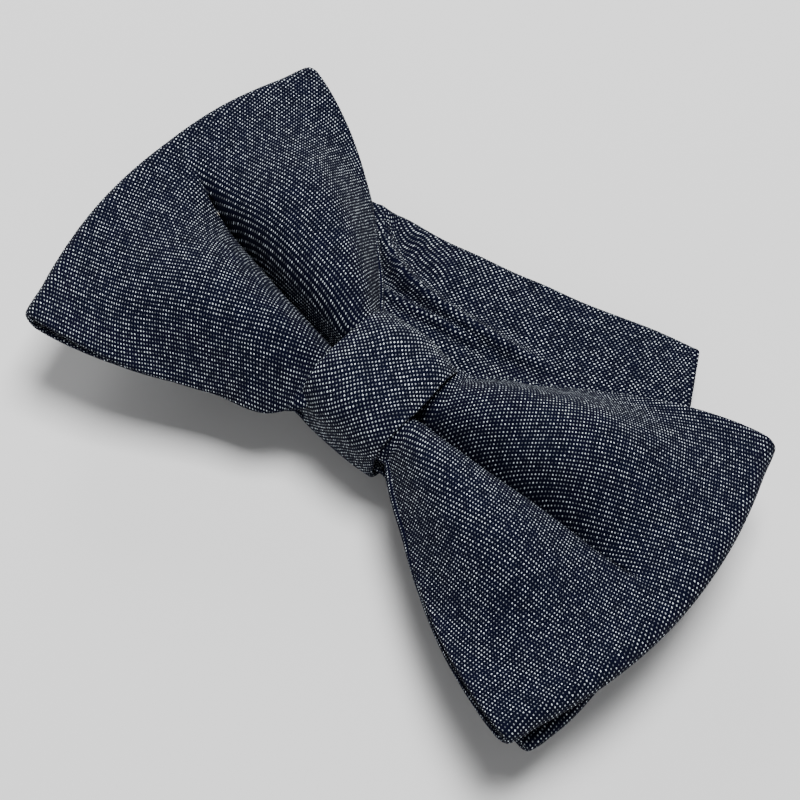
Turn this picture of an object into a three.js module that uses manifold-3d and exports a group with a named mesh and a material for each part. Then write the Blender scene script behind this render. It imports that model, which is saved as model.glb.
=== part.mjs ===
// A pre-tied bow tie with a folded neck strap, lying face up. Millimetres, +X along the bow's width, +Y up its
// height, +Z out of its front. Z is 0 at the surface that the tie lies on, and the origin is at the middle of the box.
import * as THREE from "three";
import Module from "manifold-3d";

const wasm = await Module();
wasm.setup();

// Driving dimensions.
const overallWidth = 120; // over the two wings, at mid-height
const wingHeight = 67; // at the wings' corners
const edgeBulge = 7; // how far the middle of a wing's outer edge stands beyond its corners
const waistX = -2.7; // the pinched waist sits a little left of the middle
const waistY = -1.7; // and a little low
const waistHalf = 8.5; // half the pinched height
const knotWidth = 18.5; // width of the wrap
const strapWidth = 26;
const strapThickness = 0.8; // two layers of cloth with a fused interlining
const pinchedStrap = 16; // width of the strap where the knot gathers it
const clothWall = 0.35;
const sleeveHalf = 0.8; // half the thickness of a bow's cloth tube, with its interlining inside
const interliningHalf = 0.2;
const boxMiddleY = 5.81; // middle of the whole object's depth, measured from the bow's own centre line

// Heights of the strap's runs, from the surface up.
const floorRun = 0.4;
const adjusterRun = 1.5;
const returnRun = 5.0;
const innerRun = 6.2;
const outerRun = 7.4;
const topRun = 8.5;
const strapY = 9; // centre line of the runs that lie straight under the bow
const leftFoldX = -42;
const rightFoldX = 38;

// Adjuster and hook.
const sliderX = 14;
const sliderLength = 12;
const ringX = -12;
const ringLength = 8.5;
const wireRadius = 1.0;
const ringTravel = 5; // each way; the slider moves twice as far
const hookX = -39;
const hookBarHeight = 1.7;

const chambray = { color: 0x1b2440, roughness: 0.92, metalness: 0 };
const canvas = { color: 0xd9d2c2, roughness: 0.95, metalness: 0 };
const thread = { color: 0x141b30, roughness: 0.7, metalness: 0 };
const nickel = { color: 0xb9bcc0, roughness: 0.28, metalness: 1 };

const up = new THREE.Vector3(0, 0, 1);
const radians = THREE.MathUtils.degToRad;

function named(name, geometry, look) {
  const mesh = new THREE.Mesh(geometry, new THREE.MeshStandardMaterial(look));
  mesh.name = name;
  return mesh;
}

// Builds indexed geometry and turns its faces outwards if the enclosed volume comes out negative.
function closedGeometry(points, triangles) {
  let volume = 0;
  for (const [a, b, c] of triangles) volume += points[a].dot(points[b].clone().cross(points[c]));
  const faces = volume < 0 ? triangles.map(([a, b, c]) => [a, c, b]) : triangles;
  const geometry = new THREE.BufferGeometry().setFromPoints(points);
  geometry.setIndex(faces.flat());
  geometry.computeVertexNormals();
  return geometry;
}

// Joins two rings of points by triangles. Both walls of a tube are cut along the same diagonals, so they stay parallel.
function joinRings(triangles, first, second, count, inward = false) {
  for (let i = 0; i < count; i++) {
    const j = (i + 1) % count;
    const pair = [
      [first + i, second + i, second + j],
      [first + i, second + j, first + j],
    ];
    triangles.push(...(inward ? pair.map(([a, b, c]) => [a, c, b]) : pair));
  }
}

// A solid lofted through flat closed sections with equal counts of points. Each section runs along one side and back
// along the other, so its ends are filled by rungs between the two sides.
function loft(sections) {
  const count = sections[0].length;
  const triangles = [];
  for (let k = 0; k + 1 < sections.length; k++) joinRings(triangles, k * count, (k + 1) * count, count);
  const last = (sections.length - 1) * count;
  for (let i = 0; i + 1 < count / 2; i++) {
    const far = count - 1 - i;
    triangles.push([i, i + 1, far - 1], [i, far - 1, far]);
    triangles.push([last + i, last + far - 1, last + i + 1], [last + i, last + far, last + far - 1]);
  }
  return closedGeometry(sections.flat(), triangles);
}

// A tube with walls: an outer and an inner loft, joined by a rim at each open end.
function sleeve(outer, inner) {
  const count = outer[0].length;
  const innerStart = outer.length * count;
  const triangles = [];
  for (let k = 0; k + 1 < outer.length; k++) {
    joinRings(triangles, k * count, (k + 1) * count, count);
    joinRings(triangles, innerStart + k * count, innerStart + (k + 1) * count, count, true);
  }
  const last = (outer.length - 1) * count;
  joinRings(triangles, innerStart, 0, count);
  joinRings(triangles, last, innerStart + last, count);
  return closedGeometry([...outer.flat(), ...inner.flat()], triangles);
}

function solidOf(geometry) {
  return new wasm.Manifold(
    new wasm.Mesh({
      numProp: 3,
      vertProperties: new Float32Array(geometry.attributes.position.array),
      triVerts: new Uint32Array(geometry.index.array),
    }),
  );
}

function joined(solids) {
  const mesh = solids.reduce((whole, solid) => whole.add(solid)).getMesh();
  const geometry = new THREE.BufferGeometry();
  geometry.setAttribute("position", new THREE.BufferAttribute(new Float32Array(mesh.vertProperties), 3));
  geometry.setIndex(new THREE.BufferAttribute(new Uint32Array(mesh.triVerts), 1));
  geometry.computeVertexNormals();
  return geometry;
}

// ---- Bows: each is a tube of cloth bent into a flat loop, pinched at the waist, its ends meeting behind. ----

const between = (value, low, high) => THREE.MathUtils.smoothstep(value, low, high);
const flare = 0.185; // share of a wing that stays pinched, under the knot

// Half the wing's height at share q of the way from the waist to the outer edge.
function halfHeight(q, cornerHalf) {
  const t = Math.max(0, (q - flare) / (1 - flare));
  return waistHalf + (cornerHalf - waistHalf) * (0.7 * (1 - (1 - t) ** 2.4) + 0.3 * t);
}

// Height of the two lobes beside the centre pleat.
function lobeHeight(q) {
  return 1.2 + 4.2 * between(q, 0.14, 0.38) - 4.9 * between(q, 0.42, 1);
}

const frontBow = {
  middle: (q) => 16 + 2.7 * q,
  gap: (q) => 1.05 + 0.9 * between(q, 0.2, 0.6) - 0.35 * between(q, 0.7, 1),
  lobes: { front: 1, back: 0.35 },
  edge: 0.5,
  cornerX: overallWidth / 2 - edgeBulge,
  cornerHalf: wingHeight / 2 - sleeveHalf,
  shiftX: 0,
  turn: 0,
};

const backBow = {
  middle: (q) => 11.8 + 0.2 * q,
  gap: () => 1.05,
  lobes: { front: 0.35, back: 0.15 },
  edge: 0.3,
  cornerX: 51.5,
  cornerHalf: 30.2,
  shiftX: 1.5,
  turn: radians(1.2),
};

// A point of the loop's middle surface. place holds the side, face and share q, or the angle round an outer fold.
function bowPoint(bow, place, v) {
  const { side, face, q, angle } = place;
  const radius = bow.gap(1);
  const reach = bow.cornerX + edgeBulge * (1 - v * v) - sleeveHalf - radius - side * waistX;
  const lobe = (1 - Math.cos(2 * Math.PI * v)) / 2;
  const edgeLobe = bow.edge * lobe;
  let x = waistX + side * q * reach;
  let z = bow.middle(q);
  if (face === "fold") {
    x += side * radius * Math.cos(angle);
    z += radius * Math.sin(angle) + edgeLobe;
  } else {
    const share = bow.lobes[face];
    const fade = between(q, 0.6, 1);
    const height = lobeHeight(q) * share * lobe * (1 - fade) + edgeLobe * fade;
    z += (face === "front" ? 1 : -1) * bow.gap(q) + height;
  }
  const y = waistY * (1 - between(q, 0, 0.6)) + v * halfHeight(q, bow.cornerHalf);
  const turned = new THREE.Vector3(x - waistX, y, z).applyAxisAngle(up, bow.turn);
  return turned.add(new THREE.Vector3(waistX + bow.shiftX * q, 0, 0));
}

// The loop's stations, from the back of the waist round the left wing, across the front and round the right wing.
function bowStations() {
  const frontShares = [0.1, flare, 0.24, 0.31, 0.41, 0.53, 0.67, 0.83, 1];
  const backShares = [0.02, flare, 0.26, 0.4, 0.6, 0.8, 1];
  const foldAngles = [60, 30, 0, -30, -60].map(radians);
  const back = (side) => backShares.map((q) => ({ side, face: "back", q }));
  const fold = (side) => foldAngles.map((angle) => ({ side, face: "fold", q: 1, angle }));
  const front = (side) => frontShares.map((q) => ({ side, face: "front", q }));
  const middle = [{ side: 1, face: "front", q: 0 }];
  return [
    ...back(-1),
    ...fold(-1).reverse(),
    ...front(-1).reverse(),
    ...middle,
    ...front(1),
    ...fold(1),
    ...back(1).reverse(),
  ];
}

const acrossSteps = 8;

// The cloth's normal at one point of the grid of stations and steps across.
function clothNormal(points, index, step) {
  const before = points[Math.max(0, index - 1)];
  const after = points[Math.min(points.length - 1, index + 1)];
  const along = after[step].clone().sub(before[step]);
  const row = points[index];
  const across = row[Math.min(row.length - 1, step + 1)].clone().sub(row[Math.max(0, step - 1)]);
  return along.cross(across).normalize();
}

// Rings round the loop's middle surface at distance half from it; rounded rings also pass round the side folds.
function bowRings(bow, half, reach, rounded) {
  const points = bowStations().map((place) => {
    const row = [];
    for (let k = 0; k <= acrossSteps; k++) {
      const v = THREE.MathUtils.clamp((2 * k) / acrossSteps - 1, -reach, reach);
      row.push(bowPoint(bow, place, v));
    }
    return row;
  });
  return points.map((row, index) => {
    const normals = row.map((_, step) => clothNormal(points, index, step));
    const one = row.map((p, k) => p.clone().addScaledVector(normals[k], half));
    const other = row.map((p, k) => p.clone().addScaledVector(normals[k], -half)).reverse();
    if (!rounded) return [...one, ...other];
    const top = row[acrossSteps].clone().sub(row[acrossSteps - 1]).setLength(half).add(row[acrossSteps]);
    const bottom = row[0].clone().sub(row[1]).setLength(half).add(row[0]);
    return [...one, top, ...other, bottom];
  });
}

function bowCloth(bow) {
  return sleeve(bowRings(bow, sleeveHalf, 1, true), bowRings(bow, sleeveHalf - clothWall, 1, true));
}

function bowInterlining(bow) {
  return loft(bowRings(bow, interliningHalf, 0.98, false));
}

// ---- Knot: thread binding, padding and the wrap, all round the waist. ----

function roundedOutline(Path, low, high, halfWidth, frontRadius, backRadius) {
  const path = new Path();
  path.absarc(halfWidth - backRadius, low + backRadius, backRadius, -Math.PI / 2, 0, false);
  path.absarc(halfWidth - frontRadius, high - frontRadius, frontRadius, 0, Math.PI / 2, false);
  path.absarc(-halfWidth + frontRadius, high - frontRadius, frontRadius, Math.PI / 2, Math.PI, false);
  path.absarc(-halfWidth + backRadius, low + backRadius, backRadius, Math.PI, Math.PI * 1.5, false);
  path.closePath();
  return path;
}

// A band round the waist: an outline in Y and Z, extruded along X about the waist.
function waistBand(low, high, halfWidth, wall, width, frontRadius) {
  const backRadius = 2.2;
  const shape = roundedOutline(THREE.Shape, low, high, halfWidth, frontRadius, backRadius);
  const hole = [low + wall, high - wall, halfWidth - wall, frontRadius - wall, backRadius - wall];
  shape.holes.push(roundedOutline(THREE.Path, ...hole));
  const geometry = new THREE.ExtrudeGeometry(shape, { depth: width, bevelEnabled: false, curveSegments: 6 });
  geometry.translate(0, 0, -width / 2);
  geometry.rotateX(Math.PI / 2).rotateZ(Math.PI / 2);
  return geometry.translate(waistX, waistY, 0);
}

const wrapLow = 6.9;
const wrapHigh = 22.6;
const wrapHalf = 11.4;
const wrapWall = 0.9;

function knotWrap() {
  return waistBand(wrapLow, wrapHigh, wrapHalf, wrapWall, knotWidth, 6.2);
}

function waistBinding() {
  return waistBand(9.2, 19.9, 10.2, 0.45, 3, 3.4);
}

// A crowned pad under the front of the wrap.
function knotPadding() {
  const shape = new THREE.Shape();
  shape.moveTo(-6, 20.2);
  shape.lineTo(6, 20.2);
  shape.quadraticCurveTo(5.6, 21.3, 3.6, 21.4);
  shape.lineTo(-3.6, 21.4);
  shape.quadraticCurveTo(-5.6, 21.3, -6, 20.2);
  const width = knotWidth - 2;
  const geometry = new THREE.ExtrudeGeometry(shape, { depth: width, bevelEnabled: false, curveSegments: 4 });
  geometry.translate(0, 0, -width / 2);
  geometry.rotateX(Math.PI / 2).rotateZ(Math.PI / 2);
  return geometry.translate(waistX, waistY, 0);
}

// ---- Neck strap: one strip, folded back and forth behind the bow. ----

// A strap station: its centre, the direction across it (degrees in plan), its normal and its half width.
function station(x, y, z, across, normal, half = strapWidth / 2) {
  const angle = radians(across);
  const side = new THREE.Vector3(Math.cos(angle), Math.sin(angle), 0);
  return { centre: new THREE.Vector3(x, y, z), side, normal, half };
}

// A fold about an axis that lies along the strap's width: outward is the plan direction it bulges to, in degrees.
function foldStations(x, y, z, radius, outward, from, to, across, sign, half) {
  const steps = radius > 2 ? 8 : 5;
  const plan = new THREE.Vector3(Math.cos(radians(outward)), Math.sin(radians(outward)), 0);
  return Array.from({ length: steps + 1 }, (_, k) => {
    const angle = radians(from + ((to - from) * k) / steps);
    const radial = plan.clone().multiplyScalar(Math.cos(angle)).addScaledVector(up, Math.sin(angle));
    const centre = new THREE.Vector3(x, y, z).addScaledVector(radial, radius);
    const made = station(0, 0, 0, across, radial.clone().multiplyScalar(sign), half);
    return { ...made, centre };
  });
}

function strapSolid(stations) {
  return loft(
    stations.map(({ centre, side, normal, half }) => {
      const corner = (a, b) =>
        centre
          .clone()
          .addScaledVector(side, a * half)
          .addScaledVector(normal, (b * strapThickness) / 2);
      return [corner(-1, -1), corner(1, -1), corner(1, 1), corner(-1, 1)];
    }),
  );
}

const faceUp = up.clone();
const faceDown = up.clone().negate();
const creaseX = 37; // middle of the fold that shows beyond the right wing
const creaseY = 33.1;
const creaseAcross = 120; // the direction of that fold's line in plan, degrees
const creaseHalf = 13.3;

function neckStrap() {
  const half = strapWidth / 2;
  const pinched = pinchedStrap / 2;
  const foldHeight = (a, b) => (a + b) / 2;
  const foldRadius = (a, b) => Math.abs(a - b) / 2;
  const freeEnd = ringX + 5 + ringTravel + 0.3;
  return strapSolid([
    station(freeEnd, strapY, adjusterRun, 90, faceUp),
    station(31, strapY, adjusterRun, 90, faceUp),
    ...foldStations(
      rightFoldX,
      strapY,
      foldHeight(floorRun, innerRun),
      foldRadius(floorRun, innerRun),
      0,
      -90,
      90,
      90,
      -1,
      half,
    ),
    ...foldStations(
      leftFoldX,
      strapY,
      foldHeight(innerRun, outerRun),
      foldRadius(innerRun, outerRun),
      180,
      -90,
      90,
      90,
      1,
      half,
    ),
    station(-28, 7.5, outerRun, 94, faceUp, half),
    station(-20, 3, 7.9, 98, faceUp, 11),
    station(waistX - knotWidth / 2 - 1, waistY, topRun, 90, faceUp, pinched),
    station(waistX + knotWidth / 2 + 1, waistY, topRun, 92, faceUp, pinched),
    station(12, 3.5, 8.1, 112, faceUp, 8.5),
    station(20, 13, outerRun, 136, faceUp, 11.5),
    station(28, 22.6, outerRun, 130, faceUp, half),
    ...foldStations(
      creaseX,
      creaseY,
      foldHeight(outerRun, topRun),
      foldRadius(outerRun, topRun),
      creaseAcross - 90,
      -90,
      90,
      creaseAcross,
      -1,
      creaseHalf,
    ),
    station(27, 30.1, topRun, 110, faceDown, half),
    station(15.6, 26.9, topRun, 107, faceDown, 12),
    station(0, 23.2, topRun, 103, faceDown, 10.9),
    station(-12.2, 20.7, topRun, 101, faceDown, 9.9),
    station(-28.5, 14.2, topRun, 104, faceDown, 12.6),
    ...foldStations(
      leftFoldX,
      strapY,
      foldHeight(topRun, floorRun),
      foldRadius(topRun, floorRun),
      180,
      90,
      -90,
      90,
      -1,
      half,
    ),
    ...foldStations(hookX, strapY, hookBarHeight, hookBarHeight - floorRun, 0, -90, 90, 90, -1, half),
    station(leftFoldX - 2.5, strapY, 2 * hookBarHeight - floorRun, 90, faceDown),
  ]);
}

// The strap's end loop round the ring, with a short leg below and above it.
function strapLoopEnd() {
  const middle = (adjusterRun + returnRun) / 2;
  return strapSolid([
    station(ringX + 5, strapY, returnRun, 90, faceUp),
    ...foldStations(ringX, strapY, middle, returnRun - middle, 180, 90, -90, 90, 1),
    station(ringX + 5, strapY, adjusterRun, 90, faceDown),
  ]);
}

// The strap's return part, which lies over the slider's centre bar and turns back under it.
function strapReturn() {
  const barHeight = 3.8;
  return strapSolid([
    station(ringX + 5 + ringTravel + 0.3, strapY, returnRun, 90, faceUp),
    ...foldStations(sliderX, strapY, barHeight, returnRun - barHeight, 0, 90, -90, 90, 1),
    station(sliderX - 7, strapY, 2 * barHeight - returnRun, 90, faceDown),
  ]);
}

// ---- Metal fittings. ----

function rod(from, to, radius) {
  const start = new THREE.Vector3(...from);
  const end = new THREE.Vector3(...to);
  const geometry = new THREE.CylinderGeometry(radius, radius, start.distanceTo(end), 12);
  geometry.deleteAttribute("uv").deleteAttribute("normal");
  const turn = new THREE.Quaternion().setFromUnitVectors(
    new THREE.Vector3(0, 1, 0),
    end.clone().sub(start).normalize(),
  );
  geometry.applyQuaternion(turn).translate(...start.add(end).multiplyScalar(0.5));
  return weldedSolid(geometry);
}

function ball(at, radius) {
  return weldedSolid(new THREE.SphereGeometry(radius, 12, 8).translate(...at));
}

function block(low, high) {
  const size = high.map((value, axis) => value - low[axis]);
  const middle = high.map((value, axis) => (value + low[axis]) / 2);
  return weldedSolid(new THREE.BoxGeometry(...size).translate(...middle));
}

// Merges equal points of a three.js primitive, so that its surface is closed.
function weldedSolid(geometry) {
  const position = geometry.attributes.position;
  const found = new Map();
  const points = [];
  const order = [];
  for (let i = 0; i < position.count; i++) {
    const point = new THREE.Vector3().fromBufferAttribute(position, i);
    const key = point.toArray().map((value) => Math.round(value * 1e4)).join();
    if (!found.has(key)) {
      found.set(key, points.length);
      points.push(point);
    }
    order.push(found.get(key));
  }
  const index = Array.from(geometry.index.array, (i) => order[i]);
  const triangles = [];
  for (let i = 0; i < index.length; i += 3) {
    const [a, b, c] = index.slice(i, i + 3);
    if (a !== b && b !== c && a !== c) triangles.push([a, b, c]);
  }
  return solidOf(closedGeometry(points, triangles));
}

function plate(outline, from, to) {
  const shape = new THREE.Shape(outline.map(([x, z]) => new THREE.Vector2(x, z)));
  const geometry = new THREE.ExtrudeGeometry(shape, { depth: to - from, bevelEnabled: false });
  geometry.rotateX(Math.PI / 2).translate(0, to, 0);
  geometry.setIndex(Array.from({ length: geometry.attributes.position.count }, (_, i) => i));
  return weldedSolid(geometry);
}

const railInner = strapWidth / 2 + 0.4;
const railOuter = railInner + 1.2;

// A three-bar slider: the two outer bars pass under the strap, the centre bar stands above it.
function slider() {
  const end = sliderLength / 2;
  const rail = [
    [sliderX - end, 0],
    [sliderX + end, 0],
    [sliderX + end, 0.8],
    [sliderX + 1.2, 4.5],
    [sliderX - 1.2, 4.5],
    [sliderX - end, 0.8],
  ];
  const overlap = 0.5;
  const low = strapY - railInner - overlap;
  const high = strapY + railInner + overlap;
  return joined([
    plate(rail, strapY - railOuter, strapY - railInner),
    plate(rail, strapY + railInner, strapY + railOuter),
    block([sliderX - end, low, 0], [sliderX - end + 2, high, 0.8]),
    block([sliderX + end - 2, low, 0], [sliderX + end, high, 0.8]),
    rod([sliderX, low, 3.8], [sliderX, high, 3.8], 0.6),
  ]);
}

// A loop of wire with four round corners.
function wireLoop(x, length, height, radius) {
  const half = strapWidth / 2 + 0.6 + radius;
  const corners = [
    [x, strapY - half, height],
    [x, strapY + half, height],
    [x + length, strapY + half, height],
    [x + length, strapY - half, height],
  ];
  const rods = corners.map((corner, i) => rod(corner, corners[(i + 1) % 4], radius));
  const balls = corners.map((corner) => ball(corner, radius));
  return [...rods, ...balls];
}

function ring() {
  return joined(wireLoop(ringX, -ringLength, (adjusterRun + returnRun) / 2, wireRadius));
}

// The hook: a wire eye for the strap, with a tongue that runs out, up and back.
function hook() {
  const radius = 0.75;
  const eyeLength = 4.6;
  const start = hookX + eyeLength;
  const low = hookBarHeight - 0.4;
  const tip = start + 6.2;
  const tongue = [
    [start - 0.2, low],
    [tip - 0.4, low],
    [tip, low + 0.6],
    [tip, low + 2.4],
    [tip - 0.6, low + 3],
    [tip - 4, low + 3],
    [tip - 4, low + 2.2],
    [tip - 0.9, low + 2.2],
    [tip - 0.8, low + 0.8],
    [start - 0.2, low + 0.8],
  ];
  const halfTongue = 4.5;
  return joined([
    ...wireLoop(hookX, eyeLength, hookBarHeight, radius),
    plate(tongue, strapY - halfTongue, strapY + halfTongue),
  ]);
}

// A bar tack: a close row of stitches through the strap's layers, as a slim bar beside the strap's end.
function barTack(x, low, high) {
  const width = 20;
  return new THREE.BoxGeometry(1.2, width, high - low).translate(x, strapY, (low + high) / 2);
}

const tie = new THREE.Group();
tie.position.y = -boxMiddleY;
tie.add(named("front_bow", bowCloth(frontBow), chambray));
tie.add(named("front_bow_interlining", bowInterlining(frontBow), canvas));
tie.add(named("back_bow", bowCloth(backBow), chambray));
tie.add(named("back_bow_interlining", bowInterlining(backBow), canvas));
tie.add(named("waist_binding", waistBinding(), thread));
tie.add(named("knot_wrap", knotWrap(), chambray));
tie.add(named("knot_padding", knotPadding(), canvas));
tie.add(named("neck_strap", neckStrap(), chambray));
tie.add(named("strap_loop_end", strapLoopEnd(), chambray));
tie.add(named("strap_return", strapReturn(), chambray));
tie.add(named("slider", slider(), nickel));
tie.add(named("ring", ring(), nickel));
tie.add(named("hook", hook(), nickel));
tie.add(named("hook_bar_tack", barTack(leftFoldX - 0.4, 1.1, 2.3), thread));
tie.add(named("slider_bar_tack", barTack(sliderX - 4.5, 3.3, 4.3), thread));

const root = new THREE.Group();
root.add(tie);
export default root;
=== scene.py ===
import math

import bpy
import numpy as np
from mathutils import Matrix, Vector


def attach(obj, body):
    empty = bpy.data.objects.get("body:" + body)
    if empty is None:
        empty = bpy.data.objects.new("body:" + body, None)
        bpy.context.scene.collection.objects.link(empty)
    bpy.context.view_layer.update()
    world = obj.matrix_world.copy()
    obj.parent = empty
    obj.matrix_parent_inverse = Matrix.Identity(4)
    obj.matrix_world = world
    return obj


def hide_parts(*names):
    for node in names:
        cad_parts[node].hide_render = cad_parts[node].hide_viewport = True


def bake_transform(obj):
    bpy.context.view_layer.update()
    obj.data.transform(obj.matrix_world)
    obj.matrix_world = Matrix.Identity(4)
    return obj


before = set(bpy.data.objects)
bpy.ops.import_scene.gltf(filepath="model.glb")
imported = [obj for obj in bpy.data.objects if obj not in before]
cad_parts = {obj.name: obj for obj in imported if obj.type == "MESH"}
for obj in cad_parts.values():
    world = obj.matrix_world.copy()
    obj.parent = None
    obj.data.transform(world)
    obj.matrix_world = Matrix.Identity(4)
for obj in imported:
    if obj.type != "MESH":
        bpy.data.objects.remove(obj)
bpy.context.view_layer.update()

# The camera looks down on the front of the bow from beyond its lower right wing, turned a little about its own axis.
# The bow's own middle stands forward of the middle of the whole tie, because the strap's fold sticks out behind.
MM = 0.001
BOW_Y = -5.81
camera_data = bpy.data.cameras.new("camera")
camera_data.lens = 92.1
camera_data.sensor_width = 36.0
camera = bpy.data.objects.new("camera", camera_data)
bpy.context.scene.collection.objects.link(camera)
azimuth, elevation, roll = (math.radians(a) for a in (32.14, 64.61, 10.77))
plan = math.cos(elevation)
back = Vector((math.sin(azimuth) * plan, -math.cos(azimuth) * plan, math.sin(elevation)))
level = (-back).cross(Vector((0, 0, 1))).normalized()
rise = level.cross(-back)
right = level * math.cos(roll) + rise * math.sin(roll)
upward = rise * math.cos(roll) - level * math.sin(roll)
turn = Matrix((right, upward, back)).transposed()
camera.matrix_world = Matrix.Translation(Vector((79.1, BOW_Y - 125.0, 323.6)) * MM) @ turn.to_4x4()
bpy.context.scene.camera = camera

# The floor and the studio: a pale, even sweep under a large soft lamp overhead, a fill and a weaker rim lamp.
bpy.ops.mesh.primitive_plane_add(size=6.0, location=(0, 0, -0.0002))
floor = bpy.context.object
floor.name = "floor"
floor_finish = bpy.data.materials.new("pale_floor")
floor_finish.use_nodes = True
floor_finish.node_tree.nodes["Principled BSDF"].inputs["Base Color"].default_value = (0.9, 0.9, 0.9, 1)
floor_finish.node_tree.nodes["Principled BSDF"].inputs["Roughness"].default_value = 0.9
floor.data.materials.append(floor_finish)
for name, place, size, power in [
    ("overhead", (-0.1, 0.2, 1.0), 0.4, 15.5),
    ("fill", (0.5, -0.7, 0.6), 0.8, 1.6),
    ("rim", (-0.7, 0.5, 0.4), 0.4, 3.0),
]:
    lamp_data = bpy.data.lights.new(name, "AREA")
    lamp_data.size = size
    lamp_data.energy = power
    lamp = bpy.data.objects.new(name, lamp_data)
    bpy.context.scene.collection.objects.link(lamp)
    lamp.location = place
    lamp.rotation_euler = (-Vector(place)).to_track_quat("-Z", "Y").to_euler()
world = bpy.data.worlds.new("studio")
world.use_nodes = True
world.node_tree.nodes["Background"].inputs["Color"].default_value = (1, 1, 1, 1)
world.node_tree.nodes["Background"].inputs["Strength"].default_value = 0.16
bpy.context.scene.world = world

# Front bow: a turned tube of chambray bent into a flat loop and pinched at the waist, so each wing stands up in two
# soft lobes beside a deep pleat. The cloth is cut on the bias, so its dots stand in straight rows along each lobe.
YARN = 0.44
OVERALL_WIDTH = 120.0
EDGE_BULGE = 7.0
WAIST_X, WAIST_Y, WAIST_HALF = -2.7, -1.7, 8.5
FLARE = 0.185
SLEEVE_HALF = 0.75
ROWS_ACROSS = 96
GENTLE_WALL, STEEP_WALL = 3.8, 0.8  # how far from the pleat each of its walls reaches
BIG_CHEEK, SMALL_CHEEK = 3.2, 1.6  # how far the lobes swell past the waist as they leave the knot
CORNER_POINT = 0.35  # how far the turned corners stand out
KNOT_DROOP = 2.0  # how far the left wing's lower edge hangs down beside the knot
EDGE_SETBACK = 0.8  # from the outer edge to the middle of the cloth there


def soft_step(value, low, high):
    t = np.clip((value - low) / (high - low), 0, 1)
    return t * t * (3 - 2 * t)


class NodeMaths:
    """Builds arithmetic out of Math nodes, a step at a time."""

    def __init__(self, material):
        self.tree = material.node_tree
        self.nodes = self.tree.nodes

    def make(self, kind, **settings):
        node = self.nodes.new(kind)
        for key, value in settings.items():
            setattr(node, key, value)
        return node

    def link(self, source, target):
        self.tree.links.new(source, target)

    def do(self, operation, *inputs):
        node = self.make("ShaderNodeMath", operation=operation)
        for socket, value in zip(node.inputs, inputs):
            if isinstance(value, (int, float)):
                socket.default_value = value
            else:
                self.link(value, socket)
        return node.outputs[0]


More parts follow.
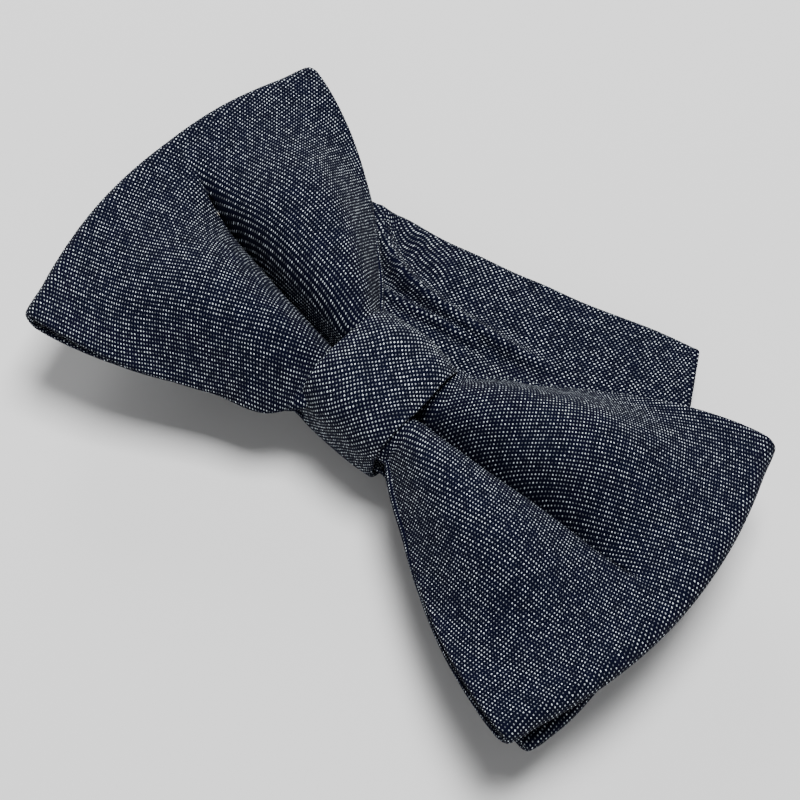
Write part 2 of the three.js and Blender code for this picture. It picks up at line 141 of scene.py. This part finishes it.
def chambray(name, turn_degrees, shear, fineness, pitch=YARN):
    """Plain weave of dark warp and pale weft, on a UV map in millimetres. Each pale float is a short round dot, and
    the shear is how far the cloth has been pulled on its bias. The higher the fineness, the smaller the dots."""
    material = bpy.data.materials.new(name)
    material.use_nodes = True
    m = NodeMaths(material)
    shader = m.nodes["Principled BSDF"]
    cloth = m.make("ShaderNodeUVMap", uv_map="cloth")
    grain = m.make("ShaderNodeMapping", vector_type="POINT")
    grain.inputs["Rotation"].default_value = (0, 0, math.radians(45))
    grain.inputs["Scale"].default_value = ((1 + shear) / pitch, (1 - shear) / pitch, 1)
    diagonal = m.make("ShaderNodeMapping", vector_type="POINT")
    diagonal.inputs["Rotation"].default_value = (0, 0, math.radians(turn_degrees - 45))
    m.link(cloth.outputs[0], diagonal.inputs[0])
    m.link(diagonal.outputs[0], grain.inputs[0])
    wander = m.make("ShaderNodeTexNoise")
    wander.inputs["Scale"].default_value = 0.12
    wander.inputs["Detail"].default_value = 2.0
    m.link(cloth.outputs[0], wander.inputs["Vector"])
    split = m.make("ShaderNodeSeparateXYZ")
    m.link(grain.outputs[0], split.inputs[0])
    bend = m.do("MULTIPLY", m.do("SUBTRACT", wander.outputs[0], 0.5), 1.6)
    warp = m.do("ADD", split.outputs[0], bend)
    weft = m.do("ADD", split.outputs[1], bend)
    column, row = m.do("FLOOR", warp), m.do("FLOOR", weft)
    parity = m.do("MODULO", m.do("ABSOLUTE", m.do("ADD", column, row)), 2.0)
    on_top = m.do("LESS_THAN", parity, 0.5)
    across_warp = m.do("SUBTRACT", m.do("FRACT", warp), 0.5)
    across_weft = m.do("SUBTRACT", m.do("FRACT", weft), 0.5)
    cell = m.make("ShaderNodeCombineXYZ")
    m.link(column, cell.inputs[0])
    m.link(row, cell.inputs[1])
    chance = m.make("ShaderNodeTexWhiteNoise", noise_dimensions="2D")
    m.link(cell.outputs[0], chance.inputs["Vector"])
    yarn_chance = m.make("ShaderNodeTexWhiteNoise", noise_dimensions="1D")
    m.link(row, yarn_chance.inputs["W"])
    longways = m.do("POWER", m.do("ABSOLUTE", m.do("MULTIPLY", across_warp, 2.5 * fineness)), 2.0)
    sideways = m.do("POWER", m.do("ABSOLUTE", m.do("MULTIPLY", across_weft, 3.1 * fineness)), 2.0)
    round_dot = m.do("SUBTRACT", 1.0, m.do("ADD", longways, sideways))
    dot = m.do("MULTIPLY", m.do("MAXIMUM", round_dot, 0.0), on_top)
    slub = m.make("ShaderNodeTexNoise")
    slub.inputs["Scale"].default_value = 0.9
    slub.inputs["Detail"].default_value = 3.0
    stretched = m.make("ShaderNodeMapping")
    stretched.inputs["Scale"].default_value = (0.12, 1.0, 1.0)
    m.link(grain.outputs[0], stretched.inputs[0])
    m.link(stretched.outputs[0], slub.inputs["Vector"])
    uneven = m.do("ADD", 0.15, m.do("MULTIPLY", m.do("POWER", chance.outputs[0], 2.0), 1.5))
    streak = m.do("ADD", 0.45, m.do("MULTIPLY", slub.outputs[0], 1.1))
    by_yarn = m.do("ADD", 0.8, m.do("MULTIPLY", yarn_chance.outputs[0], 0.4))
    pale = m.do("MULTIPLY", m.do("MULTIPLY", m.do("POWER", dot, 0.8), uneven), m.do("MULTIPLY", streak, by_yarn))
    cloudy = m.make("ShaderNodeTexNoise")
    cloudy.inputs["Scale"].default_value = 0.35
    cloudy.inputs["Detail"].default_value = 4.0
    m.link(cloth.outputs[0], cloudy.inputs["Vector"])
    ground = m.make("ShaderNodeMix", data_type="RGBA")
    ground.inputs["A"].default_value = (0.0008, 0.0012, 0.0065, 1)
    ground.inputs["B"].default_value = (0.0026, 0.0036, 0.017, 1)
    m.link(cloudy.outputs[0], ground.inputs["Factor"])
    colour = m.make("ShaderNodeMix", data_type="RGBA")
    colour.inputs["B"].default_value = (0.84, 0.93, 1.0, 1)
    m.link(ground.outputs["Result"], colour.inputs["A"])
    m.link(m.do("MINIMUM", pale, 1.0), colour.inputs["Factor"])
    m.link(colour.outputs["Result"], shader.inputs["Base Color"])
    dark_top = m.do("SUBTRACT", 1.0, on_top)
    warp_side = m.do("SUBTRACT", 1.0, m.do("POWER", m.do("ABSOLUTE", m.do("MULTIPLY", across_warp, 2.0)), 2.0))
    weave_height = m.do("ADD", dot, m.do("MULTIPLY", m.do("MULTIPLY", warp_side, dark_top), 0.8))
    bump = m.make("ShaderNodeBump")
    bump.inputs["Strength"].default_value = 0.5
    bump.inputs["Distance"].default_value = 0.00012
    m.link(weave_height, bump.inputs["Height"])
    m.link(bump.outputs[0], shader.inputs["Normal"])
    shader.inputs["Roughness"].default_value = 0.88
    shader.inputs["Specular IOR Level"].default_value = 0.05
    shader.inputs["Sheen Weight"].default_value = 0.012
    shader.inputs["Sheen Roughness"].default_value = 0.5
    return material


def half_height(q, corner_half):
    """Half the wing's height at a share q of the way out: it flares soon after the knot and then grows evenly."""
    t = np.maximum(0, (q - FLARE) / (1 - FLARE))
    return WAIST_HALF + (corner_half - WAIST_HALF) * (0.7 * (1 - (1 - t) ** 2.4) + 0.3 * t)


def lobe_height(q):
    """How high the lobes stand at a share q of the way out: they swell beside the knot and die away at the edge."""
    return 1.8 + 5.0 * soft_step(q, 0.06, 0.36) - 6.1 * soft_step(q, 0.5, 1.03)


FRONT = {
    "middle": lambda q: 16 + 2.7 * q,  # height of the loop's middle
    "gap": lambda q: 1.05 + 0.9 * soft_step(q, 0.2, 0.6) - 0.35 * soft_step(q, 0.7, 1.0),  # half the loop's opening
    "lobes": {"front": 1.0, "back": 0.35},  # how full each face's lobes are
    "edge": 0.5,  # how high the lobes still stand at the outer edge
    "pleat": {-1: lambda q: 0.15 * soft_step(q, 0.3, 1.0), 1: lambda q: -0.14 + 0.14 * soft_step(q, 0.15, 0.75)},
    "sink": 7.0,  # depth of the pleat
    "roll": 3.2,  # how far the wings' sides roll down
    "spill": -1.3,  # how far the rolled sides spill out; below zero they draw in
    "slack": 1.2,  # how far the left wing's lower side hangs
    "corner_x": OVERALL_WIDTH / 2 - EDGE_BULGE,
    "corner_half": 33.2,
    "shift": 0.0,  # how far the right wing's lower half stands out
}


def bow_rows():
    """The loop's stations: side, face, share of the way out, and angle round the outer fold."""
    front = np.concatenate([np.linspace(0.02, 0.5, 44), np.linspace(0.51, 1.0, 34)])
    behind = np.concatenate([np.linspace(0.015, 0.5, 26), np.linspace(0.52, 1.0, 22)])
    angles = np.radians(np.linspace(80, -80, 11))
    rows = [(-1, "back", q, 0) for q in behind]
    rows += [(-1, "fold", 1.0, a) for a in angles[::-1]]
    rows += [(-1, "front", q, 0) for q in front[::-1]]
    rows += [(1, "front", q, 0) for q in front]
    rows += [(1, "fold", 1.0, a) for a in angles]
    rows += [(1, "back", q, 0) for q in behind[::-1]]
    return rows


def bow_grid(bow):
    """Points of the loop's middle surface, one row of the grid a station. The pleat is steep on one side only, where
    one lobe leans over the other, and each side rolls down over what lies behind it."""
    v = np.linspace(-1, 1, ROWS_ACROSS + 1)
    radius = bow["gap"](1.0)
    rows = []
    for side, face, q, angle in bow_rows():
        reach = bow["corner_x"] + EDGE_BULGE * (1 - v * v) - EDGE_SETBACK - radius - side * WAIST_X
        x = WAIST_X + side * q * reach
        z = np.full_like(v, bow["middle"](q))
        half = half_height(q, bow["corner_half"])
        pleat = bow["pleat"][side](q)

        # One arch each side of the pleat makes the two lobes, which are plumper near the knot.
        share = np.where(v > pleat, (v - pleat) / (1 - pleat), (v - pleat) / (1 + pleat))
        crease = np.sin(np.pi * np.abs(share) ** 0.85)
        plump = 0.75 + 1.25 * soft_step(q, 0.35, 1.0)
        lobe = crease**plump
        fade = soft_step(q, 0.6, 1.0)

        # The pleat sinks between the knot and the flat outer part of the wing.
        lean = side * (v - pleat) * half
        sink = np.exp(-np.abs(lean) / np.where(lean > 0, GENTLE_WALL, STEEP_WALL))
        sink = sink * bow["sink"] * soft_step(q, 0.03, 0.14) * (1 - soft_step(q, 0.68, 0.95))

        # The sides roll down, and the cloth swells past the waist where it leaves the knot.
        over = soft_step(np.abs(v), 0.5, 1.0) ** 1.4 * soft_step(q, 0.08, 0.24) * (1 - soft_step(q, 0.5, 1.0))
        cheek = np.where(v * side > 0, BIG_CHEEK, SMALL_CHEEK) * soft_step(np.abs(v), 0.2, 1.0)
        y = v * (half + cheek * soft_step(q, 0.1, 0.16) * (1 - soft_step(q, 0.2, 0.42)))
        point = CORNER_POINT * soft_step(np.abs(v), 0.85, 1.0) * soft_step(q, 0.8, 1.0)
        x = x + side * point
        y = y + np.sign(v) * point

        # The front and back faces lie either side of the loop's middle, joined by the outer fold.
        if face == "fold":
            x = x + side * radius * math.cos(angle)
            z = z + radius * math.sin(angle) + bow["edge"] * crease**2
        elif face == "front":
            height = lobe_height(q) * bow["lobes"][face] * (1 - fade)
            z = z + bow["gap"](q) + height * lobe + bow["edge"] * fade * crease**2 - sink - bow["roll"] * over
            y = y + np.sign(v) * bow["spill"] * over
            if side < 0:
                droop = bow["slack"] + KNOT_DROOP * soft_step(q, 0.08, 0.2) * (1 - soft_step(q, 0.24, 0.6))
                y = y - np.where(v < 0, 1, 0) * over * droop
        else:
            height = lobe_height(q) * bow["lobes"][face] * (1 - fade)
            z = z - bow["gap"](q) - height * lobe + bow["edge"] * fade * crease**2 - 0.5 * sink
            y = y - np.sign(v) * over
        y = y + WAIST_Y * (1 - soft_step(q, 0, 0.6))
        if side > 0:
            x = x + bow["shift"] * q * soft_step(-v, 0.3, 1.0)
        rows.append(np.stack([x, y, z], axis=1))
    return np.array(rows)


def grid_normals(grid):
    along = np.gradient(grid, axis=0)
    across = np.gradient(grid, axis=1)
    normal = np.cross(along, across)
    return normal / np.linalg.norm(normal, axis=2, keepdims=True)


def shell_mesh(name, grid, half, cloth_u, cloth_v, material, folded=True):
    """A closed sheet, 2 * half thick, about a grid of points. It has round side folds and a UV map in millimetres."""
    normals = grid_normals(grid)
    count_u, count_v = grid.shape[:2]
    one = grid + normals * half
    other = (grid - normals * half)[:, ::-1]
    rounds = np.radians([60, 30, 0, -30, -60]) if folded else []

    def side_fold(edge, inner, sense):
        out = grid[:, edge] - grid[:, inner]
        out /= np.linalg.norm(out, axis=1, keepdims=True)
        return [grid[:, edge] + half * (math.cos(a) * out + math.sin(a) * normals[:, edge] * sense) for a in rounds]

    tail_ring, head_ring = side_fold(-1, -2, 1), side_fold(0, 1, -1)
    columns = [one[:, k] for k in range(count_v)] + tail_ring + [other[:, k] for k in range(count_v)] + head_ring
    points = np.stack(columns, axis=1)
    step = half * math.radians(30)
    u_wide = [cloth_u[:, k] for k in range(count_v)] + [cloth_u[:, -1]] * len(tail_ring)
    u_wide += [cloth_u[:, count_v - 1 - k] for k in range(count_v)] + [cloth_u[:, 0]] * len(head_ring)
    v_wide = [cloth_v[:, k] for k in range(count_v)]
    v_wide += [cloth_v[:, -1] + step * (k + 1) for k in range(len(tail_ring))]
    v_wide += [cloth_v[:, count_v - 1 - k] for k in range(count_v)]
    v_wide += [cloth_v[:, 0] - step * (len(head_ring) - k) for k in range(len(head_ring))]
    u_all, v_all = np.stack(u_wide, axis=1), np.stack(v_wide, axis=1)
    total = points.shape[1]
    vertices = points.reshape(-1, 3)
    faces, uvs = [], []
    for i in range(count_u - 1):
        for j in range(total):
            k = (j + 1) % total
            corners = [(i, j), (i + 1, j), (i + 1, k), (i, k)]
            faces.append([a * total + b for a, b in corners])
            uvs += [(u_all[a, b], v_all[a, b]) for a, b in corners]
    for i, flip in ((0, False), (count_u - 1, True)):
        for j in range(total // 2 - 1):
            quad = [j, j + 1, total - 2 - j, total - 1 - j]
            quad = [(q - len(head_ring)) % total if folded else q for q in quad]
            quad = quad[::-1] if flip else quad
            faces.append([i * total + q for q in quad])
            uvs += [(u_all[i, q], v_all[i, q]) for q in quad]
    vertices = (vertices + np.array([0, BOW_Y, 0])) * MM
    mesh = bpy.data.meshes.new(name)
    mesh.from_pydata([tuple(p) for p in vertices], [], faces)
    layer = mesh.uv_layers.new(name="cloth")
    layer.data.foreach_set("uv", np.array(uvs, dtype=np.float32).ravel())
    made = bpy.data.objects.new(name, mesh)
    bpy.context.scene.collection.objects.link(made)
    mesh.materials.append(material)
    mesh.update()
    volume = sum(f.center.dot(f.normal) * f.area for f in mesh.polygons)
    if volume < 0:
        mesh.flip_normals()
    for face in mesh.polygons:
        face.use_smooth = True
    return made


def bow_cloth_map(bow, grid):
    """Distances along and across the cloth. Each lobe's rows of dots follow its own crest and meet in the pleat.
    Along a wing the level distance is taken, and round the outer fold the distance on the cloth."""
    on_fold = np.array([face == "fold" for side, face, q, angle in bow_rows()])
    steps_along = np.diff(grid, axis=0)
    level_step = np.linalg.norm(steps_along[..., :2], axis=2)
    along = np.where((on_fold[1:] | on_fold[:-1])[:, None], np.linalg.norm(steps_along, axis=2), level_step)
    u = np.vstack([np.zeros(grid.shape[1]), np.cumsum(along, axis=0)])
    v = np.linspace(-1, 1, ROWS_ACROSS + 1)
    span = 0.88 * half_height(0.9, bow["corner_half"])  # between the two lobes' crests at the outer edge
    rows = []
    for (side, face, q, angle), points in zip(bow_rows(), grid):
        pleat = bow["pleat"][side](q)
        half = half_height(q, bow["corner_half"])
        steps = np.diff(points, axis=0)
        near = np.exp(-((((v[1:] + v[:-1]) / 2 - pleat) * half / 5) ** 2))
        spread = near * np.abs(steps[:, 1]) + (1 - near) * np.linalg.norm(steps, axis=1)
        length = np.concatenate([[0], np.cumsum(spread)])
        low_crest = np.interp(pleat - 0.44 * (1 + pleat), v, length)
        high_crest = np.interp(pleat + 0.44 * (1 - pleat), v, length)
        reach = 1.5 + 8 * soft_step(q, 0.6, 0.95)  # how gently the two lobes' rows meet
        share = soft_step((v - pleat) * half, -reach, reach)
        low, high = length - low_crest - span / 2, length - high_crest + span / 2
        rows.append((1 - share) * low + share * high)
    return u - u[len(u) // 2], np.array(rows)


bias_cloth = chambray("chambray_bias", 27.0, 0.12, 1.14, 0.4)
front_grid = bow_grid(FRONT)
front_bow = shell_mesh("front_bow_cloth", front_grid, SLEEVE_HALF, *bow_cloth_map(FRONT, front_grid), bias_cloth)
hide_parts("front_bow")
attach(front_bow, "bow_and_strap")

# Front bow interlining: a strip of woven canvas that lies inside the cloth tube and gives the wings their body.
def canvas(name):
    material = bpy.data.materials.new(name)
    material.use_nodes = True
    m = NodeMaths(material)
    shader = m.nodes["Principled BSDF"]
    place = m.make("ShaderNodeTexCoord")
    waves = []
    for direction in ("X", "Y"):
        wave = m.make("ShaderNodeTexWave", bands_direction=direction)
        wave.inputs["Scale"].default_value = 500.0
        m.link(place.outputs["Object"], wave.inputs["Vector"])
        waves.append(wave.outputs["Fac"])
    weave = m.do("MULTIPLY", *waves)
    mix = m.make("ShaderNodeMix", data_type="RGBA")
    mix.inputs["A"].default_value = (0.52, 0.48, 0.4, 1)
    mix.inputs["B"].default_value = (0.75, 0.71, 0.62, 1)
    m.link(weave, mix.inputs["Factor"])
    m.link(mix.outputs["Result"], shader.inputs["Base Color"])
    shader.inputs["Roughness"].default_value = 0.95
    return material


canvas_finish = canvas("woven_interlining")


def interlining(name, grid, node):
    inner = grid[2:-2:2, 2:-2:2]
    u = np.zeros(inner.shape[:2])
    made = shell_mesh(name, inner, 0.18, u, u, canvas_finish, folded=False)
    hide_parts(node)
    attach(made, "bow_and_strap")


interlining("front_bow_canvas", front_grid, "front_bow_interlining")

# Back bow: a slightly shorter loop of the same cloth behind the front one. Its edge shows
# along the lower half of the right wing and under the left wing's lower edge.
BACK = {
    "middle": lambda q: 11.8 + 0.2 * q,
    "gap": lambda q: 1.05,
    "lobes": {"front": 0.35, "back": 0.15},
    "edge": 0.3,
    "pleat": {-1: lambda q: 0.0, 1: lambda q: 0.0},
    "sink": 2.2,
    "roll": 0.5,
    "spill": -3.4,
    "slack": -0.8,
    "corner_x": 51.3,
    "corner_half": 30.0,
    "shift": 4.2,
}
back_grid = bow_grid(BACK)
back_bow = shell_mesh("back_bow_cloth", back_grid, SLEEVE_HALF, *bow_cloth_map(BACK, back_grid), bias_cloth)
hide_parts("back_bow")
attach(back_bow, "bow_and_strap")
interlining("back_bow_canvas", back_grid, "back_bow_interlining")

# Knot wrap: a band of the cloth, cut straight, its long edges turned in, drawn round both waists and sewn behind.
KNOT_LOW, KNOT_HIGH, KNOT_HALF, KNOT_WIDTH = 7.35, 22.0, 10.9, 18.5


def knot_outline(count):
    """Points in Y and Z round the knot, starting behind, with broad round corners in front and tight ones behind."""
    corners = [
        (KNOT_HALF - 2.2, KNOT_LOW + 2.2, 2.2, -90),
        (KNOT_HALF - 6.4, KNOT_HIGH - 6.4, 6.4, 0),
        (-KNOT_HALF + 6.4, KNOT_HIGH - 6.4, 6.4, 90),
        (-KNOT_HALF + 2.2, KNOT_LOW + 2.2, 2.2, 180),
    ]
    path = [(0.02, KNOT_LOW)]
    for cy, cz, radius, start in corners:
        for angle in np.radians(np.linspace(start, start + 90, 15)):
            path.append((cy + radius * math.cos(angle), cz + radius * math.sin(angle)))
    path.append((-0.02, KNOT_LOW))
    path = np.array(path)
    length = np.concatenate([[0], np.cumsum(np.linalg.norm(np.diff(path, axis=0), axis=1))])
    spots = np.linspace(0, length[-1], count)
    return np.stack([np.interp(spots, length, path[:, 0]), np.interp(spots, length, path[:, 1])], 1), spots


def knot_grid():
    """Rows of points round the knot. The band is crowned across, and a shallow slanting crease crosses its front."""
    outline, spots = knot_outline(150)
    centre = outline.mean(axis=0)
    across = np.linspace(-1, 1, 41)
    rows = []
    for (y, z), spot in zip(outline, spots):
        front = soft_step(z, 12, 20)
        width = KNOT_WIDTH / 2 - 1.1 + 0.35 * math.sin(spot * 0.21 + 0.6)
        crown = 1.1 * (1 - np.abs(across) ** 2.6) - 0.75
        crease = 0.22 * front * np.sin(across * 5.0 + spot * 0.35) * (1 - across**2)
        out = np.array([y, z]) - centre
        out /= np.linalg.norm(out)
        lift = (crown * (0.45 + 0.55 * front) + crease)[:, None]
        yz = np.array([y, z])[None] + out[None] * lift
        rows.append(np.stack([WAIST_X + across * width, WAIST_Y + yz[:, 0], yz[:, 1]], axis=1))
    return np.array(rows)


def straight_map(grid):
    """Distances along and across a strip whose yarns run straight along it."""
    along = np.linalg.norm(np.diff(grid, axis=0), axis=2).mean(axis=1)
    across = np.linalg.norm(np.diff(grid, axis=1), axis=2)
    u = np.concatenate([[0], np.cumsum(along)])[:, None] + np.zeros(grid.shape[:2])
    arc = np.hstack([np.zeros((grid.shape[0], 1)), np.cumsum(across, axis=1)])
    return u, arc - arc[:, [grid.shape[1] // 2]]


knot_cloth = chambray("chambray_knot", -7.0, -0.09, 1.0)
knot_points = knot_grid()
knot = shell_mesh("knot_wrap_cloth", knot_points, 0.45, *straight_map(knot_points), knot_cloth)
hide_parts("knot_wrap")
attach(knot, "bow_and_strap")

# Neck strap: one long strip of the cloth, two layers with a fused lining, folded back and forth behind the bow. The
# knot gathers it, and the run on top is squeezed beside the knot, where it wrinkles.
STRAP_HALF, STRAP_THICK = 13.0, 0.8
FLOOR_RUN, ADJUSTER_RUN, RETURN_RUN, INNER_RUN, OUTER_RUN, TOP_RUN = 0.4, 1.5, 5.0, 6.2, 7.4, 8.5
STRAP_Y, LEFT_FOLD, RIGHT_FOLD = 9.0, -42.0, 38.0
SLIDER_X, RING_X, HOOK_X = 14.0, -12.0, -39.0


def station(x, y, z, across=90.0, facing=1.0, half=STRAP_HALF):
    """A place on the strap: its centre, the direction across it, its normal and its half width."""
    angle = math.radians(across)
    return [x, y, z, math.cos(angle), math.sin(angle), 0.0, 0.0, 0.0, facing, half]


def fold(x, y, low, high, outward, start, end, across, sign, half=STRAP_HALF):
    """The stations of a half turn between two heights. Outward is the plan direction it bulges to, in degrees."""
    radius = abs(high - low) / 2
    plan = np.array([math.cos(math.radians(outward)), math.sin(math.radians(outward)), 0])
    side = [math.cos(math.radians(across)), math.sin(math.radians(across)), 0]
    made = []
    for angle in np.radians(np.linspace(start, end, 17)):
        radial = plan * math.cos(angle) + np.array([0, 0, 1]) * math.sin(angle)
        centre = np.array([x, y, (low + high) / 2]) + radial * radius
        made.append([*centre, *side, *(radial * sign), half])
    return made


def smooth_stations(stations, gap):
    """Runs an even curve through the stations, with a new row about every gap millimetres."""
    s = np.array(stations, float)
    padded = np.vstack([2 * s[0] - s[1], s, 2 * s[-1] - s[-2]])
    rows = []
    for i in range(1, len(padded) - 2):
        p0, p1, p2, p3 = padded[i - 1 : i + 3]
        span = np.linalg.norm(p2[:3] - p1[:3])
        steps = max(1, int(math.ceil(span / gap)))
        d1 = (p2 - p0) * span / max(np.linalg.norm(p2[:3] - p0[:3]), 1e-9)
        d2 = (p3 - p1) * span / max(np.linalg.norm(p3[:3] - p1[:3]), 1e-9)
        for t in np.arange(steps) / steps:
            h = (2 * t**3 - 3 * t**2 + 1, t**3 - 2 * t**2 + t, -2 * t**3 + 3 * t**2, t**3 - t**2)
            rows.append(h[0] * p1 + h[1] * d1 + h[2] * p2 + h[3] * d2)
    rows.append(s[-1])
    return np.array(rows)


def strap_grid(stations, gap=1.0, across=40, wrinkles=False):
    """Points of the strap's middle surface. The wrinkles are two ridges on the top run, the first
    with a hollow along each side."""
    rows = smooth_stations(stations, gap)
    v = np.linspace(-1, 1, across + 1)
    grid = rows[:, None, :3] + rows[:, None, 3:6] * (v[None, :, None] * rows[:, 9][:, None, None])
    if wrinkles:
        top = (rows[:, 8] < -0.9) & (np.abs(rows[:, 2] - TOP_RUN) < 0.3)
        x, y = grid[..., 0], grid[..., 1]
        ridge = 19.4 + np.where(x > -14, 0.0058, 0.04) * (x + 14) ** 2
        second = 15.4 + 0.2 * (x + 14)
        fade = soft_step(x, -30, -22) * (1 - soft_step(x, -2, 20))
        lift = 2.4 * np.exp(-(((y - ridge) / 1.15) ** 2)) * fade
        lift -= 1.0 * np.exp(-(((y - ridge + 2.8) / 1.5) ** 2)) * fade
        lift -= 0.5 * np.exp(-(((y - ridge - 3.0) / 1.8) ** 2)) * fade
        lift += 2.0 * np.exp(-(((y - second) / 0.9) ** 2)) * soft_step(x, -22, -14) * (1 - soft_step(x, -4, 9))
        lift += 0.18 * np.sin(y * 0.9 + x * 0.22) * fade
        grid[..., 2] += lift * top[:, None]
    return grid


CREASE = (37.0, 33.1)
neck_stations = [
    station(31, STRAP_Y, ADJUSTER_RUN),
    *fold(RIGHT_FOLD, STRAP_Y, FLOOR_RUN, INNER_RUN, 0, -90, 90, 90, -1),
    station(10, STRAP_Y, INNER_RUN, facing=-1),
    station(-20, STRAP_Y, INNER_RUN, facing=-1),
    *fold(LEFT_FOLD, STRAP_Y, INNER_RUN, OUTER_RUN, 180, -90, 90, 90, 1),
    station(-28, 7.5, OUTER_RUN, 94),
    station(-20, 3, 7.9, 98, half=11),
    station(WAIST_X - 10.2, WAIST_Y, TOP_RUN, half=8),
    station(WAIST_X + 10.2, WAIST_Y, TOP_RUN, 92, half=8),
    station(12, 3.5, 8.1, 112, half=8.5),
    station(20, 13, OUTER_RUN, 136, half=11.5),
    station(28, 22.6, OUTER_RUN, 130),
    *fold(*CREASE, OUTER_RUN, TOP_RUN, 30, -90, 90, 120, -1, 13.3),
    station(27, 30.1, TOP_RUN, 110, -1),
    station(15.6, 26.9, TOP_RUN, 107, -1, 12),
    station(0, 23.2, TOP_RUN, 103, -1, 10.9),
    station(-12.2, 20.7, TOP_RUN, 101, -1, 9.9),
    station(-28.5, 14.2, TOP_RUN, 104, -1, 12.6),
    *fold(LEFT_FOLD, STRAP_Y, FLOOR_RUN, TOP_RUN, 180, 90, -90, 90, -1),
    *fold(HOOK_X, STRAP_Y, FLOOR_RUN, 3.0, 0, -90, 90, 90, -1),
    station(LEFT_FOLD - 2.5, STRAP_Y, 3.0, facing=-1),
]
strap_cloth = chambray("chambray_strap", 10.0, 0.09, 1.1)
neck_grid = strap_grid(neck_stations, wrinkles=True)
strap = shell_mesh("neck_strap_cloth", neck_grid, STRAP_THICK / 2, *straight_map(neck_grid), strap_cloth)
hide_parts("neck_strap")
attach(strap, "bow_and_strap")

# Adjuster run: the same strip goes on through the slider, round the ring and back.
run_stations = [
    station(31, STRAP_Y, ADJUSTER_RUN, facing=-1),
    station(20, STRAP_Y, ADJUSTER_RUN, facing=-1),
    station(0, STRAP_Y, ADJUSTER_RUN, facing=-1),
    *fold(RING_X, STRAP_Y, ADJUSTER_RUN, RETURN_RUN, 180, -90, 90, 90, 1),
    station(RING_X + 5, STRAP_Y, RETURN_RUN),
]
run_grid = strap_grid(run_stations)
run = shell_mesh("strap_adjuster_run", run_grid, STRAP_THICK / 2, *straight_map(run_grid), strap_cloth)
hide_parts("strap_loop_end")


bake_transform(run)

# Strap return: the last of the strip, from the ring back to the slider, over its centre bar and sewn down under it.
return_stations = [
    station(RING_X + 5, STRAP_Y, RETURN_RUN),
    station(0, STRAP_Y, RETURN_RUN),
    *fold(SLIDER_X, STRAP_Y, 2.6, RETURN_RUN, 0, 90, -90, 90, 1),
    station(SLIDER_X - 7, STRAP_Y, 2.6, facing=-1),
]
return_grid = strap_grid(return_stations)
strap_return = shell_mesh("strap_return_cloth", return_grid, STRAP_THICK / 2, *straight_map(return_grid), strap_cloth)
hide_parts("strap_return")
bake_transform(strap_return)

# Slider, ring and hook: bright nickel-plated brass, lightly scuffed. They keep their own shapes.
def nickel(name):
    material = bpy.data.materials.new(name)
    material.use_nodes = True
    m = NodeMaths(material)
    shader = m.nodes["Principled BSDF"]
    place = m.make("ShaderNodeTexCoord")
    scuff = m.make("ShaderNodeTexNoise")
    scuff.inputs["Scale"].default_value = 900.0
    scuff.inputs["Detail"].default_value = 5.0
    m.link(place.outputs["Object"], scuff.inputs["Vector"])
    m.link(m.do("ADD", 0.16, m.do("MULTIPLY", scuff.outputs[0], 0.24)), shader.inputs["Roughness"])
    tint = m.make("ShaderNodeMix", data_type="RGBA")
    tint.inputs["A"].default_value = (0.6, 0.6, 0.59, 1)
    tint.inputs["B"].default_value = (0.74, 0.73, 0.7, 1)
    m.link(scuff.outputs[0], tint.inputs["Factor"])
    m.link(tint.outputs["Result"], shader.inputs["Base Color"])
    shader.inputs["Metallic"].default_value = 1.0
    return material


nickel_finish = nickel("nickel_plate")
for node in ("slider", "ring", "hook"):
    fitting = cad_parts[node]
    fitting.data.materials.clear()
    fitting.data.materials.append(nickel_finish)

# Waist binding and bar tacks: navy sewing thread, its turns lying side by side.
def stitching(name):
    material = bpy.data.materials.new(name)
    material.use_nodes = True
    m = NodeMaths(material)
    shader = m.nodes["Principled BSDF"]
    place = m.make("ShaderNodeTexCoord")
    turns = m.make("ShaderNodeTexWave", bands_direction="X")
    turns.inputs["Scale"].default_value = 700.0
    m.link(place.outputs["Object"], turns.inputs["Vector"])
    mix = m.make("ShaderNodeMix", data_type="RGBA")
    mix.inputs["A"].default_value = (0.008, 0.011, 0.028, 1)
    mix.inputs["B"].default_value = (0.035, 0.045, 0.095, 1)
    m.link(turns.outputs["Fac"], mix.inputs["Factor"])
    m.link(mix.outputs["Result"], shader.inputs["Base Color"])
    bump = m.make("ShaderNodeBump")
    bump.inputs["Distance"].default_value = 0.0001
    m.link(turns.outputs["Fac"], bump.inputs["Height"])
    m.link(bump.outputs[0], shader.inputs["Normal"])
    shader.inputs["Roughness"].default_value = 0.6
    return material


thread_finish = stitching("navy_thread")
for node in ("waist_binding", "hook_bar_tack", "slider_bar_tack"):
    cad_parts[node].data.materials.clear()
    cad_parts[node].data.materials.append(thread_finish)
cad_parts["knot_padding"].data.materials.clear()
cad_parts["knot_padding"].data.materials.append(canvas_finish)
